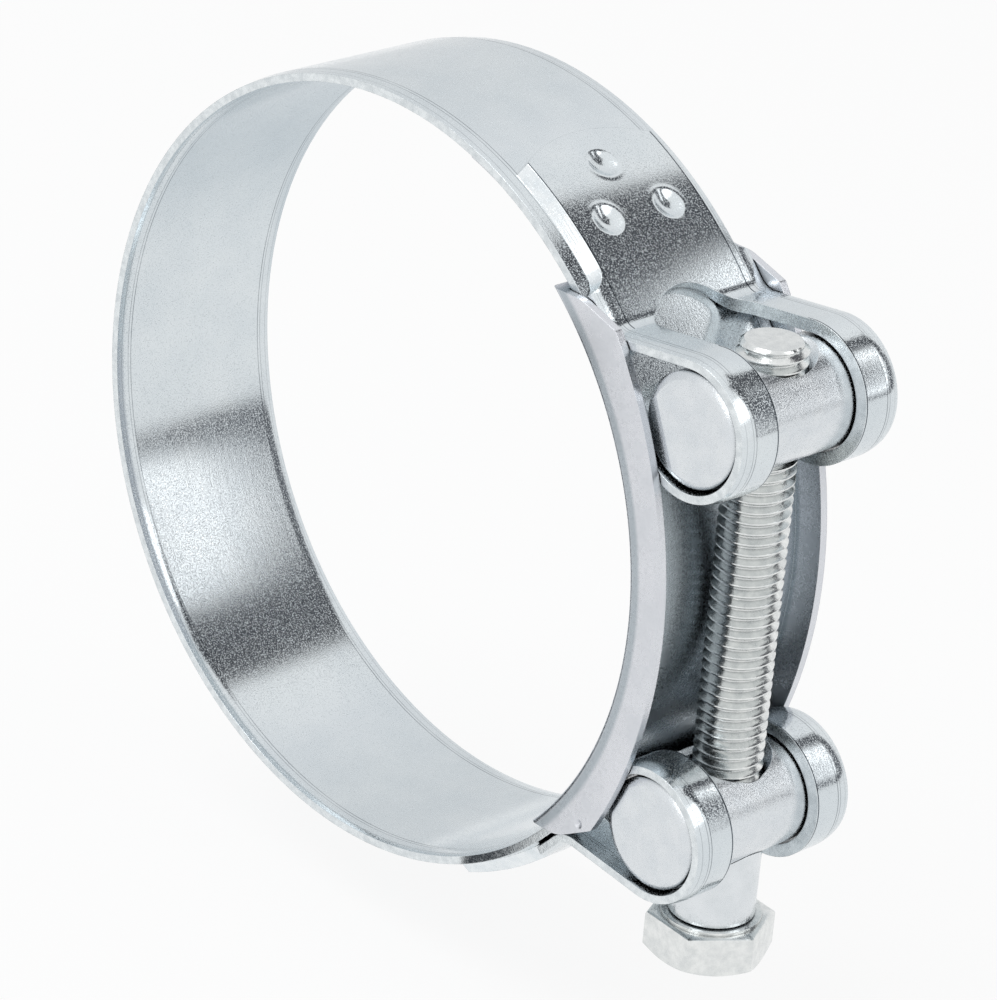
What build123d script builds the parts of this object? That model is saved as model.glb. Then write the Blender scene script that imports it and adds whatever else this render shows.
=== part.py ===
from build123d import *
from math import acos, atan2, cos, degrees, hypot, radians, sin, tan
import os

os.makedirs("parts", exist_ok=True)

# Heavy duty hose clamp, in millimetres.
# The origin is the centre of the bore. The bore runs along Y, and the bolt stands along Z on the
# +X side, with its head down.

# Band: one steel strip, rolled to a ring, with both ends folded back round the cross pins
bore_radius = 45.5
band_thickness = 1.5
band_width = 24.0
bevel_width = 1.8  # coined bevel on both faces, along both edges
bevel_depth = 0.25
fit_clearance = 0.05  # between pieces that lie against each other

# Slots for the bolt in the folded ends
slot_width = 13.5
slot_rise = 3.0  # how far the slot's round end reaches past the bend, towards the ring
strand_land = 9.0  # solid strip between the ring and the square end of the slot

# Tails: the ends of the strip, bent down onto the ring and spot-welded to it
tail_lift_angle = 41.6  # where the tail lifts off the ring
tail_bend_radius = 2.5  # on the outside of the bend
tail_width = 18.8
tail_shoulder_angle = 45.8
tail_end_angle = 69.0
tail_end_radius = 18.0
tail_corner_radius = 0.4
tail_overrun = 3.0  # of the strip, before it is blanked to its round end

# Spot welds, as angle round the ring and distance from the middle of the tail
weld_spots = [(62.9, 0.0), (54.6, 4.6), (54.6, -4.6)]
weld_diameter = 4.0
weld_floor_diameter = 2.4  # flat left by the electrode's tip
weld_depth = 0.4

# Cross pins, one above and one below the middle of the clamp
pin_diameter = 13.0
pin_angle = 26.2  # of the pins' centres above and below the middle, seen from the bore's centre
pin_inset = 0.1  # of the pin's ends from the band's edges
pin_clearance = 0.25  # in the loop
pin_edge_chamfer = 0.9

# Bolt
thread_diameter = 8.0
bolt_length = 70.0
tip_chamfer = 0.75
head_across_flats = 13.0
head_height = 5.3
head_turn = -5.0  # a corner of the hexagon, in degrees from +X
head_chamfer_angle = 30.0
head_chamfer_diameter = 12.4  # the flat that the chamfer leaves under the head
washer_face_diameter = 11.6
washer_face_height = 0.4
thread_clearance = 0.05  # in the tapped hole
floor_clearance = 0.1  # between the bolt and the floor of the bridge

# Holes through the cross pins
plain_hole_diameter = 8.6
countersink_diameter = 10.2
countersink_angle = 90.0

# Spacer sleeve between the lower cross pin and the bolt's head
sleeve_diameter = 10.0
sleeve_bore = 8.4
sleeve_reach = 13.4  # from the lower pin's centre to the bolt's head
sleeve_chamfer = 0.2

# Bridge: a curved channel under the gap in the band
bridge_thickness = 1.0
bridge_side_clearance = 0.1  # between the band's edge and the flange
bridge_bend_radius = 0.6  # outside of the coined bend between floor and flange
bridge_tongue_width = 21.0  # of the floor, beyond the flanges
bridge_top_angle = 74.0  # welded to the band under the tail
bridge_bottom_angle = -43.0  # slides in the ring

# Flanges: an outer edge that flares a little at its ends, which are level and then sloped
flange_height = 3.7  # beyond the bore's radius, at the middle
flange_flare = 6.0  # how far behind the bore's axis the outer edge has its centre
flange_break_height = 2.1  # beyond the bore's radius, where the level part turns into the slope
flange_top_angle = 45.4
flange_top_slope_angle = 17.0
flange_bottom_angle = -39.2
flange_bottom_slope_angle = 30.0
flange_break_radius = 5.0
flange_corner_radius = 0.6

# Punch mark on the near flange
punch_height = 2.9  # beyond the bore's radius
punch_angle = -34.0
punch_diameter = 1.2
punch_depth = 0.35

# Radii and heights that follow from the sizes above
half_width = band_width / 2
half_thickness = band_thickness / 2
ring_outer = bore_radius + band_thickness
ring_middle = bore_radius + half_thickness
tail_outer = ring_outer + band_thickness
tail_middle = ring_middle + band_thickness
pin_radius = pin_diameter / 2
loop_middle = pin_radius + pin_clearance + half_thickness
loop_outer = loop_middle + half_thickness
bend_middle = tail_bend_radius + half_thickness
thread_radius = thread_diameter / 2
bolt_x = bore_radius + thread_radius + floor_clearance
pin_height = bolt_x * tan(radians(pin_angle))
head_top = -pin_height - sleeve_reach
floor_outer = bore_radius - fit_clearance
floor_inner = floor_outer - bridge_thickness
flange_outer = bore_radius + flange_height
flange_inside = half_width + bridge_side_clearance
flange_outside = flange_inside + bridge_thickness
flange_reach = flange_outer + flange_flare / 2
punch_radius = bore_radius + punch_height
cutter_reach = 3 * loop_outer


def polar(radius, angle):
    """The point at a radius and an angle round the ring, as (x, z)."""
    return radius * cos(radians(angle)), radius * sin(radians(angle))


def shifted(point, radius, angle):
    """A point moved by a radius at an angle, as (x, z)."""
    step_x, step_z = polar(radius, angle)
    return point[0] + step_x, point[1] + step_z


def facing_plane(point, angle):
    """The plane at a point that faces along an angle, with its x along Y and its y towards +angle."""
    facing_x, facing_z = polar(1, angle)
    return Plane(origin=(point[0], 0, point[1]), x_dir=(0, 1, 0), z_dir=(facing_x, 0, facing_z))


def crossing_tangent(first_centre, first_radius, second_centre, second_radius, side):
    """The angle at which a line that crosses between two circles touches the first of them."""
    run_x = second_centre[0] - first_centre[0]
    run_z = second_centre[1] - first_centre[1]
    swing = degrees(acos((first_radius + second_radius) / hypot(run_x, run_z)))
    return degrees(atan2(run_z, run_x)) + side * swing


# Upper half of the strip's centre line. It leaves the ring in a straight strand, wraps the pin,
# comes back over it, and bends onto the ring as the tail. The lower half is its mirror image.
pin_centre = (bolt_x, pin_height)
bend_centre = polar(tail_middle + bend_middle, tail_lift_angle)
strand_angle = crossing_tangent((0, 0), ring_middle, pin_centre, loop_middle, 1)
return_angle = crossing_tangent(bend_centre, bend_middle, pin_centre, loop_middle, -1)
bend_turn = tail_lift_angle - 180 - return_angle
strand_start = polar(ring_middle, strand_angle)
strand_end = shifted(pin_centre, -loop_middle, strand_angle)
return_start = shifted(pin_centre, -loop_middle, return_angle)
return_end = shifted(bend_centre, bend_middle, return_angle)

# Cross-section of the strip: a rectangle with a shallow bevel along both edges of both faces
strip_section = [
    (-half_width, -half_thickness + bevel_depth),
    (-half_width + bevel_width, -half_thickness),
    (half_width - bevel_width, -half_thickness),
    (half_width, -half_thickness + bevel_depth),
    (half_width, half_thickness - bevel_depth),
    (half_width - bevel_width, half_thickness),
    (-half_width + bevel_width, half_thickness),
    (-half_width, half_thickness - bevel_depth),
]

# Upper tail: from the top of the loop, over the bend, and on along the ring
tail_plane = facing_plane(
    polar(tail_outer, (tail_shoulder_angle + tail_end_angle) / 2),
    (tail_shoulder_angle + tail_end_angle) / 2,
)
tail_crown = tail_outer * sin(radians((tail_end_angle - tail_shoulder_angle) / 2))
bend_plane = facing_plane(
    shifted(bend_centre, bend_middle, return_angle + bend_turn / 2),
    return_angle + bend_turn / 2 + 180,
)
with BuildPart() as upper_tail:
    with BuildLine(Plane.XZ) as tail_path:
        Line(return_start, return_end)
        CenterArc(bend_centre, bend_middle, return_angle, bend_turn)
        CenterArc((0, 0), tail_middle, tail_lift_angle, tail_end_angle + tail_overrun - tail_lift_angle)
    with BuildSketch(facing_plane(return_start, return_angle - 90)) as tail_section:
        Polygon(*strip_section, align=None)
    sweep()
    # Outline of the blank: narrow, with a round end and hollow shoulders
    with BuildSketch(tail_plane) as tail_outline:
        with Locations((0, -tail_crown)):
            Rectangle(tail_width, 2 * tail_crown, align=(Align.CENTER, Align.MIN))
        with Locations((0, tail_crown - tail_end_radius)):
            Circle(tail_end_radius, mode=Mode.INTERSECT)
        fillet(tail_outline.vertices().group_by(Axis.Y)[-1], tail_corner_radius)
        with Locations((0, -tail_crown)):
            Rectangle(2 * band_width, cutter_reach, align=(Align.CENTER, Align.MAX))
        shoulders = tail_outline.vertices().group_by(Axis.Y)[-3].sort_by(Axis.X)[1:-1]
        fillet(shoulders, half_width - tail_width / 2)
    extrude(amount=cutter_reach, both=True, mode=Mode.INTERSECT)
    # Round end of the slot, across the bend
    with BuildSketch(bend_plane):
        with Locations((0, slot_rise - slot_width / 2)):
            Circle(slot_width / 2)
            Rectangle(slot_width, cutter_reach, align=(Align.CENTER, Align.MAX))
    extrude(amount=cutter_reach, both=True, mode=Mode.SUBTRACT)
    # Dents left by the welding electrode
    for weld_angle, weld_offset in weld_spots:
        weld_plane = facing_plane(polar(tail_outer, weld_angle), weld_angle)
        with Locations(weld_plane.location * Location((weld_offset, 0, -weld_depth / 2))):
            Cone(weld_floor_diameter / 2, weld_diameter / 2, weld_depth, mode=Mode.SUBTRACT)

# Band: the ring's upper half with its slotted loop and its tail, and then the mirror image
slot_start = shifted(strand_start, strand_land, strand_angle - 90)
with BuildPart() as band:
    with BuildLine(Plane.XZ) as strand_path:
        CenterArc((0, 0), ring_middle, 180, strand_angle - 180)
        Line(strand_start, strand_end)
        CenterArc(pin_centre, loop_middle, strand_angle + 180, return_angle - strand_angle + 360)
    with BuildSketch(facing_plane((-ring_middle, 0), 90)) as ring_section:
        Polygon(*strip_section, align=None)
    sweep()
    with BuildSketch(
        Plane(
            origin=(slot_start[0], 0, slot_start[1]),
            x_dir=(polar(1, strand_angle - 90)[0], 0, polar(1, strand_angle - 90)[1]),
            z_dir=(0, -1, 0),
        )
    ):
        with Locations((0, loop_middle)):
            Rectangle(cutter_reach, cutter_reach, align=(Align.MIN, Align.CENTER))
        with Locations((0, half_thickness)):
            Rectangle(2 * cutter_reach, cutter_reach, align=(Align.CENTER, Align.MIN))
    extrude(amount=slot_width / 2, both=True, mode=Mode.SUBTRACT)
    add(upper_tail.part)
    mirror(about=Plane.XY)
band.part.label = "band"

# Outline that both flanges are blanked to, seen along Y
flange_top_corner = polar(bore_radius + flange_break_height, flange_top_angle)
flange_bottom_corner = polar(bore_radius + flange_break_height, flange_bottom_angle)
with BuildSketch() as flange_outline:
    with Locations((-flange_flare, 0)):
        Circle(flange_outer + flange_flare)
    Polygon(
        (0, flange_bottom_corner[1]),
        flange_bottom_corner,
        shifted(flange_bottom_corner, cutter_reach, flange_bottom_slope_angle),
        shifted(flange_top_corner, cutter_reach, -flange_top_slope_angle),
        flange_top_corner,
        (0, flange_top_corner[1]),
        align=None,
        mode=Mode.INTERSECT,
    )
    flange_breaks = flange_outline.vertices().sort_by(Axis.X)[-4:-2]
    fillet(flange_breaks, flange_break_radius)
    flange_corners = flange_outline.vertices().sort_by(Axis.X)[-2:]
    fillet(flange_corners, flange_corner_radius)

# Bridge: channel section, turned about the bore's axis, with its flange ends cut to the outline
top_x, top_z = polar(1, bridge_top_angle)
punch_x, punch_z = polar(punch_radius, punch_angle)
with BuildPart() as bridge:
    with BuildSketch(Plane(origin=(0, 0, 0), x_dir=(top_x, 0, top_z), z_dir=(-top_z, 0, top_x))) as channel:
        with Locations((floor_inner, 0)):
            Rectangle(flange_reach - floor_inner, 2 * flange_outside, align=(Align.MIN, Align.CENTER))
        fillet(channel.vertices().group_by(Axis.X)[0], bridge_bend_radius)
        with Locations((floor_outer, 0)):
            Rectangle(cutter_reach, 2 * flange_inside, align=(Align.MIN, Align.CENTER), mode=Mode.SUBTRACT)
    revolve(axis=Axis.Y, revolution_arc=bridge_top_angle - bridge_bottom_angle)
    for side in (1, -1):
        with BuildSketch(Plane.XZ.offset(side * bridge_tongue_width / 2)):
            Rectangle(4 * flange_outer, 4 * flange_outer)
            add(flange_outline.sketch, mode=Mode.SUBTRACT)
        extrude(amount=side * band_width / 2, mode=Mode.SUBTRACT)
    with Locations(Location((punch_x, punch_depth / 2 - flange_outside, punch_z), (90, 0, 0))):
        Cone(0, punch_diameter / 2, punch_depth, mode=Mode.SUBTRACT)
bridge.part.label = "bridge"

# Cross pins: turned bar with chamfered ends, and a hole for the bolt, countersunk from both sides
pin_parts = []
for height, hole_radius in (
    (pin_height, thread_radius + thread_clearance),
    (-pin_height, plain_hole_diameter / 2),
):
    with BuildPart() as trunnion:
        with BuildSketch(Plane.XZ):
            with Locations((bolt_x, height)):
                Circle(pin_radius)
        extrude(amount=half_width - pin_inset, both=True)
        chamfer(trunnion.edges().filter_by(GeomType.CIRCLE), pin_edge_chamfer)
        for turn in (0, 180):
            with Locations(Location((bolt_x, 0, height), (turn, 0, 0)) * Location((0, 0, pin_radius))):
                CounterSinkHole(hole_radius, countersink_diameter / 2, pin_radius, countersink_angle)
    pin_parts.append(trunnion.part)
upper_trunnion, lower_trunnion = pin_parts
upper_trunnion.label = "upper_trunnion"
lower_trunnion.label = "lower_trunnion"

# Spacer sleeve: tube that stands on the bolt's head, with its other end coped to the lower cross pin
with BuildPart() as spacer_sleeve:
    with BuildSketch(Plane.XY.offset(head_top)):
        with Locations((bolt_x, 0)):
            Circle(sleeve_diameter / 2)
            Circle(sleeve_bore / 2, mode=Mode.SUBTRACT)
    extrude(amount=-pin_height - head_top)
    chamfer(spacer_sleeve.edges().group_by(Axis.Z)[0], sleeve_chamfer)
    with BuildSketch(Plane.XZ):
        with Locations((bolt_x, -pin_height)):
            Circle(pin_radius + fit_clearance)
    extrude(amount=sleeve_diameter, both=True, mode=Mode.SUBTRACT)
spacer_sleeve.part.label = "spacer_sleeve"

# Bolt: hexagon head with a washer face, and a shank threaded over its whole length
head_bottom = head_top - head_height
head_corner_radius = head_across_flats / 2 / cos(radians(30))
chamfer_start_radius = head_chamfer_diameter / 2
chamfer_rise = (head_corner_radius - chamfer_start_radius) * tan(radians(head_chamfer_angle))
bolt_axis = Axis((bolt_x, 0, 0), (0, 0, 1))
with BuildPart() as bolt:
    with BuildSketch(Plane.XY.offset(head_bottom)):
        with Locations((bolt_x, 0)):
            RegularPolygon(head_across_flats / 2, 6, major_radius=False, rotation=head_turn)
    extrude(amount=head_height - washer_face_height)
    with BuildSketch(Plane.XZ):
        with Locations((bolt_x, head_bottom)):
            Polygon(
                (0, 0),
                (chamfer_start_radius, 0),
                (head_corner_radius, chamfer_rise),
                (head_corner_radius, head_height),
                (0, head_height),
                align=None,
            )
    revolve(axis=bolt_axis, mode=Mode.INTERSECT)
    with BuildSketch(Plane.XY.offset(head_bottom)):
        with Locations((bolt_x, 0)):
            Circle(washer_face_diameter / 2)
    extrude(amount=head_height)
    with BuildSketch(Plane.XY.offset(head_top)):
        with Locations((bolt_x, 0)):
            Circle(thread_radius)
    extrude(amount=bolt_length)
    chamfer(bolt.edges().group_by(Axis.Z)[-1], tip_chamfer)
bolt.part.label = "bolt"

# One file for each piece
export_step(band.part, "parts/band.step")
export_step(bridge.part, "parts/bridge.step")
export_step(upper_trunnion, "parts/upper_trunnion.step")
export_step(lower_trunnion, "parts/lower_trunnion.step")
export_step(spacer_sleeve.part, "parts/spacer_sleeve.step")
export_step(bolt.part, "parts/bolt.step")
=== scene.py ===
"""Heavy duty hose clamp: a zinc-plated band, bridge, cross pins, spacer sleeve and bolt.

Sizes are written in millimetres and turned to metres where a mesh or a pattern is made. The frame is
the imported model's: the bore runs along Y, and the bolt stands along Z on the +X side, head down.
"""

import logging
import math
from dataclasses import dataclass
from enum import Enum
from functools import partial
from typing import Any, Callable, Iterable, Optional, Sequence

import bmesh
import bpy
from mathutils import Matrix, Vector


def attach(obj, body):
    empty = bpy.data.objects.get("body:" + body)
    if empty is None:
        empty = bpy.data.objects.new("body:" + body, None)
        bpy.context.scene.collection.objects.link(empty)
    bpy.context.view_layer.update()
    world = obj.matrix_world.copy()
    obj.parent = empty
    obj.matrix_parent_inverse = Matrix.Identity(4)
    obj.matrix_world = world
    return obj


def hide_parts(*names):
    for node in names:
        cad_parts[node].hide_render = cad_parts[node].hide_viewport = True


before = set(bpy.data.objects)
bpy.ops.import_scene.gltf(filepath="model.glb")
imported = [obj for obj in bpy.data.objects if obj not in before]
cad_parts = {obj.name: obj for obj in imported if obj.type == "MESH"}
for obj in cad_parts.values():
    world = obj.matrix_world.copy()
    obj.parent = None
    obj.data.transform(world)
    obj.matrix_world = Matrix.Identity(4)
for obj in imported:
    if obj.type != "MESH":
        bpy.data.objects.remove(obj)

MM = 0.001
PHOTO_WIDTH = 997

log = logging.getLogger("hose_clamp")


def linear_colour(code: str) -> tuple[float, float, float, float]:
    """Turn an sRGB hex colour into a linear one.

    Args:
        code: The colour as "#RRGGBB".

    Returns:
        Red, green, blue and a full alpha.
    """
    parts = [int(code[i : i + 2], 16) / 255 for i in (1, 3, 5)]
    red, green, blue = (p / 12.92 if p <= 0.04045 else ((p + 0.055) / 1.055) ** 2.4 for p in parts)
    return red, green, blue, 1.0


def add_node(
    tree: bpy.types.NodeTree,
    kind: str,
    settings: Optional[dict[str, Any]] = None,
    inputs: Optional[dict[Any, Any]] = None,
) -> bpy.types.Node:
    """Add a node, with its settings, and with its inputs set or linked.

    Args:
        tree: The tree that gets the node.
        kind: The node's type name.
        settings: Properties of the node.
        inputs: A value or another node's output for each input, by name or number.

    Returns:
        The new node.
    """
    node = tree.nodes.new(kind)
    for name, value in (settings or {}).items():
        setattr(node, name, value)
    for key, value in (inputs or {}).items():
        if isinstance(value, bpy.types.NodeSocket):
            tree.links.new(value, node.inputs[key])
        else:
            node.inputs[key].default_value = value
    return node


def maths(tree: bpy.types.NodeTree, operation: str, *values: Any) -> bpy.types.NodeSocket:
    """Add one step of arithmetic and give its result."""
    return add_node(tree, "ShaderNodeMath", {"operation": operation}, dict(enumerate(values))).outputs[0]


def remap(
    tree: bpy.types.NodeTree,
    value: bpy.types.NodeSocket,
    source: tuple[float, float] = (0.0, 1.0),
    target: tuple[float, float] = (0.0, 1.0),
    settings: Optional[dict[str, Any]] = None,
) -> bpy.types.NodeSocket:
    """Carry a value over from one range to another.

    Args:
        tree: The tree.
        value: The value.
        source: The range that it is taken from.
        target: The range that it is given.
        settings: Properties of the node.

    Returns:
        The new value, held inside the second range.
    """
    inputs = dict(zip(("From Min", "From Max", "To Min", "To Max"), source + target))
    return add_node(tree, "ShaderNodeMapRange", settings, {"Value": value, **inputs}).outputs[0]


def noise(
    tree: bpy.types.NodeTree, place: bpy.types.NodeSocket, size: float, detail: float, roughness: float = 0.5
) -> bpy.types.NodeSocket:
    """Add a noise whose grains have a size in the place's unit, and give its value."""
    inputs = {"Vector": place, "Scale": 1 / size, "Detail": detail, "Roughness": roughness}
    return add_node(tree, "ShaderNodeTexNoise", {}, inputs).outputs[0]


def blend(tree: bpy.types.NodeTree, share: Any, first: Any, second: Any) -> bpy.types.NodeSocket:
    """Mix two colours, with a share of the second, and give the result."""
    return add_node(
        tree, "ShaderNodeMix", {"data_type": "RGBA"}, {0: share, 6: first, 7: second}
    ).outputs[2]


def bump(
    tree: bpy.types.NodeTree, height: bpy.types.NodeSocket, rise: float, normal: bpy.types.NodeSocket
) -> bpy.types.NodeSocket:
    """Turn a normal by a relief that rises by so many millimetres, and give it."""
    inputs = {"Strength": 1.0, "Distance": rise * MM, "Height": height, "Normal": normal}
    return add_node(tree, "ShaderNodeBump", {}, inputs).outputs[0]


def empty_material(name: str) -> bpy.types.Material:
    """Make a material whose tree has no nodes yet."""
    material = bpy.data.materials.new(name)
    material.use_nodes = True
    material.node_tree.nodes.clear()
    return material


def finish_material(tree: bpy.types.NodeTree, shader: bpy.types.Node) -> None:
    """Make a shader the surface of a material."""
    add_node(tree, "ShaderNodeOutputMaterial", {}, {"Surface": shader.outputs[0]})


class Marks(Enum):
    """Which way a tool or a roller has left its fine lines, as the noise's scale along X, Y and Z."""

    NONE = (1.0, 1.0, 1.0)
    ROUND_Y = (0.03, 1.0, 0.03)  # round an axis along Y: the band's length, and the turned pins
    ROUND_Z = (0.03, 0.03, 1.0)  # round an axis along Z: the sleeve and the bolt


@dataclass(frozen=True)
class ZincPlate:
    """Bright zinc plate on steel: a bluish-white metal whose fine crystals sparkle in dark reflections.

    The crystals are 5 to 50 micrometres in reality. They are drawn several times larger, so that
    they show at the render's size of 8.5 pixels to the millimetre.
    """

    title: str
    bright: str
    dull: str
    roughness: float
    patch_roughness: float
    patch_size: float
    crystal_size: float
    crystal_rise: float
    crystal_roughness: float = 0.15
    marks: Marks = Marks.NONE
    mark_size: float = 0.2
    mark_rise: float = 0.0
    edge_radius: float = 0.12
    # Painted shade: the colour blended in where other surfaces are close, and how far away they still count
    gap_shade: str = "#474D53"
    gap_shade_reach: float = 1.2

    def shade(self, tree: bpy.types.NodeTree, place: bpy.types.NodeSocket) -> dict[str, Any]:
        """Make the plate's colour, roughness and relief.

        Args:
            tree: The material's tree.
            place: The place on the piece, in metres.

        Returns:
            The inputs of the metal's shader.
        """
        patch = remap(tree, noise(tree, place, self.patch_size * MM, 5.0, 0.62), (0.36, 0.64))
        crystals = noise(tree, place, self.crystal_size * MM, 2.0, 0.7)
        plate = blend(tree, patch, linear_colour(self.bright), linear_colour(self.dull))
        # Painted shade: the colour darkens where ambient occlusion finds other surfaces close by, in gaps,
        # corners and thread roots
        space = add_node(
            tree, "ShaderNodeAmbientOcclusion", {"samples": 4}, {"Distance": self.gap_shade_reach * MM}
        )
        closed = remap(tree, space.outputs["AO"], (0.15, 0.7), (1.0, 0.0))
        smooth = remap(tree, patch, target=(self.roughness, self.roughness + self.patch_roughness))
        rough = remap(tree, crystals, (0.5, 0.62), (0.0, self.crystal_roughness))
        edges = add_node(tree, "ShaderNodeBevel", {"samples": 6}, {"Radius": self.edge_radius * MM})
        normal = edges.outputs[0]
        if self.marks is not Marks.NONE:
            scale = [s / (self.mark_size * MM) for s in self.marks.value]
            stretched = add_node(tree, "ShaderNodeMapping", {}, {"Vector": place, "Scale": scale})
            normal = bump(tree, noise(tree, stretched.outputs[0], 1.0, 2.0), self.mark_rise, normal)
        return {
            "Base Color": blend(tree, closed, plate, linear_colour(self.gap_shade)),
            "Roughness": maths(tree, "ADD", smooth, rough),
            "Normal": bump(tree, crystals, self.crystal_rise, normal),
            "Metallic": 1.0,
        }

    def material(self) -> bpy.types.Material:
        """Build the material."""
        material = empty_material(self.title)
        tree = material.node_tree
        place = add_node(tree, "ShaderNodeTexCoord").outputs["Object"]
        finish_material(tree, add_node(tree, "ShaderNodeBsdfPrincipled", {}, self.shade(tree, place)))
        return material


@dataclass(frozen=True)
class ChannelShadePlate(ZincPlate):
    """Zinc plate on the bridge: satin, with painted shade on the channel's floor.

    The floor is given a darker colour, which fades out a little way above it.
    """

    # Painted shade: the colour of the channel's floor
    dark: str = "#B4BCC2"
    floor_radius: float = 45.45
    fading: tuple[float, float] = (0.3, 0.8)  # how far off the floor the painted shade starts to fade and ends

    def shade(self, tree: bpy.types.NodeTree, place: bpy.types.NodeSocket) -> dict[str, Any]:
        """Make the plate, with painted shade darkening the channel's floor.

        Args:
            tree: The material's tree.
            place: The place on the piece, in metres.

        Returns:
            The inputs of the metal's shader.
        """
        inputs = super().shade(tree, place)
        flat = add_node(
            tree, "ShaderNodeVectorMath", {"operation": "MULTIPLY"}, {0: place, 1: (1.0, 0.0, 1.0)}
        )
        radius = add_node(tree, "ShaderNodeVectorMath", {"operation": "LENGTH"}, {0: flat.outputs[0]})
        off_floor = maths(
            tree, "ABSOLUTE", maths(tree, "SUBTRACT", radius.outputs["Value"], self.floor_radius * MM)
        )
        start, stop = self.fading
        recess = remap(tree, off_floor, (start * MM, stop * MM), (1.0, 0.0))
        inputs["Base Color"] = blend(tree, recess, inputs["Base Color"], linear_colour(self.dark))
        return inputs


@dataclass(frozen=True)
class EdgeLinedPlate(ZincPlate):
    """Zinc plate on the strip, with painted reflections as dark lines along both curved edges, and painted
    shade lines along the loops' slots and the tails' edges.
    """

    lines_from: float = 10.0
    lines_to: float = 12.0
    # Each painted edge line's distance from the middle, half its width, and how dark it is
    lines: tuple[tuple[float, float, float], ...] = ((10.1, 0.08, 0.95), (10.5, 0.06, 0.8), (11.4, 0.06, 0.5))
    fading_size: float = 9.0
    line_colour: str = "#555D64"
    loop_line: float = 6.9  # painted shade: a dark line along the loops' slots
    loops_from: float = 48.0
    tail_line: float = 9.28  # and the one along the tails' edges
    tails_to: float = 38.0
    tails_from_radius: float = 47.7
    shade_line_width: float = 0.16

    def shade(self, tree: bpy.types.NodeTree, place: bpy.types.NodeSocket) -> dict[str, Any]:
        """Make the plate, with the painted edge and shade lines on it.

        Args:
            tree: The material's tree.
            place: The place on the piece, in metres.

        Returns:
            The inputs of the metal's shader.
        """
        inputs = super().shade(tree, place)
        calculate = partial(maths, tree)
        x, y, z = add_node(tree, "ShaderNodeSeparateXYZ", {}, {0: place}).outputs
        across = calculate("ABSOLUTE", y)
        # Painted reflection: dark lines over the edge bevel, where the curved edge mirrors dark surroundings;
        # noise fades them in and out along the strip
        edge_lines = add_node(
            tree,
            "ShaderNodeValToRGB",
            {},
            {0: remap(tree, across, (self.lines_from * MM, self.lines_to * MM))},
        )
        stops = edge_lines.color_ramp.elements
        stops[0].color = stops[-1].color = (0.0, 0.0, 0.0, 1.0)
        for line, half, depth in self.lines:
            for offset, level in ((-half, 0.0), (0.0, depth), (half, 0.0)):
                at = (line + offset - self.lines_from) / (self.lines_to - self.lines_from)
                stops.new(at).color = (level, level, level, 1.0)
        kept = remap(tree, noise(tree, place, self.fading_size * MM, 3.0), (0.35, 0.6), (0.6, 1.0))
        rolled = calculate("MULTIPLY", edge_lines.outputs[0], kept)
        # Painted shade: thin dark lines along the loops' slots and along the tails' edges
        half_line = self.shade_line_width / 2 * MM
        on_loop = calculate("GREATER_THAN", x, self.loops_from * MM)
        loop_line = calculate("COMPARE", across, self.loop_line * MM, half_line)
        radius = calculate("SQRT", calculate("MULTIPLY_ADD", x, x, calculate("MULTIPLY", z, z)))
        on_tail = calculate(
            "MULTIPLY",
            calculate("GREATER_THAN", radius, self.tails_from_radius * MM),
            calculate("LESS_THAN", x, self.tails_to * MM),
        )
        tail_line = calculate("COMPARE", across, self.tail_line * MM, half_line)
        edge_shade_lines = calculate(
            "MAXIMUM", calculate("MULTIPLY", loop_line, on_loop), calculate("MULTIPLY", tail_line, on_tail)
        )
        dark = calculate("MAXIMUM", rolled, edge_shade_lines)
        inputs["Base Color"] = blend(tree, dark, inputs["Base Color"], linear_colour(self.line_colour))
        return inputs


# Rolled strip: the smoothest of the surfaces, almost a mirror between its rough crystals
STRIP = EdgeLinedPlate(
    "Bright zinc plate on rolled strip",
    "#DBE1E4",
    "#D4DBDF",
    roughness=0.04,
    patch_roughness=0.03,
    patch_size=9.0,
    crystal_size=0.17,
    crystal_rise=0.007,
    crystal_roughness=0.45,
    marks=Marks.ROUND_Y,
    mark_size=0.5,
    mark_rise=0.003,
)

# Side of the tails: drawn down by the punch, so it is bright, with fine lines along it
TAIL_SIDE = ZincPlate(
    "Bright zinc plate on punched sides",
    "#EEF2F4",
    "#DDE4E8",
    roughness=0.12,
    patch_roughness=0.05,
    patch_size=2.0,
    crystal_size=0.2,
    crystal_rise=0.01,
    marks=Marks.ROUND_Y,
    mark_size=0.12,
    mark_rise=0.03,
)

# Sheared faces: torn grain under the plate, so the light scatters and the face looks speckled grey
SHEARED = ZincPlate(
    "Zinc plate on sheared edges",
    "#E8EDEF",
    "#D3D9DC",
    roughness=0.2,
    patch_roughness=0.08,
    patch_size=0.9,
    crystal_size=0.22,
    crystal_rise=0.03,
)

# Pressed channel: satin and streaked, with painted shade darkening its floor
BRIDGE = ChannelShadePlate(
    "Satin zinc plate on pressed sheet",
    "#DDDFE4",
    "#D6D9DE",
    roughness=0.25,
    patch_roughness=0.04,
    patch_size=6.0,
    crystal_size=0.3,
    crystal_rise=0.008,
    marks=Marks.ROUND_Y,
    mark_size=0.45,
    mark_rise=0.01,
)

# Turned bar: fine lines round the pin, and a smooth flat end
PIN = ZincPlate(
    "Bright zinc plate on turned bar",
    "#DFE3E6",
    "#D8DDE1",
    roughness=0.14,
    patch_roughness=0.04,
    patch_size=2.5,
    crystal_size=0.18,
    crystal_rise=0.018,
    crystal_roughness=0.35,
    marks=Marks.ROUND_Y,
    mark_size=0.3,
    mark_rise=0.004,
)

# Cut tube: light and even, with lines round it
SLEEVE = ZincPlate(
    "Bright zinc plate on cut tube",
    "#E0E4E7",
    "#D8DDE0",
    roughness=0.14,
    patch_roughness=0.04,
    patch_size=2.5,
    crystal_size=0.26,
    crystal_rise=0.02,
    marks=Marks.ROUND_Z,
    mark_size=0.25,
    mark_rise=0.004,
)

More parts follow.
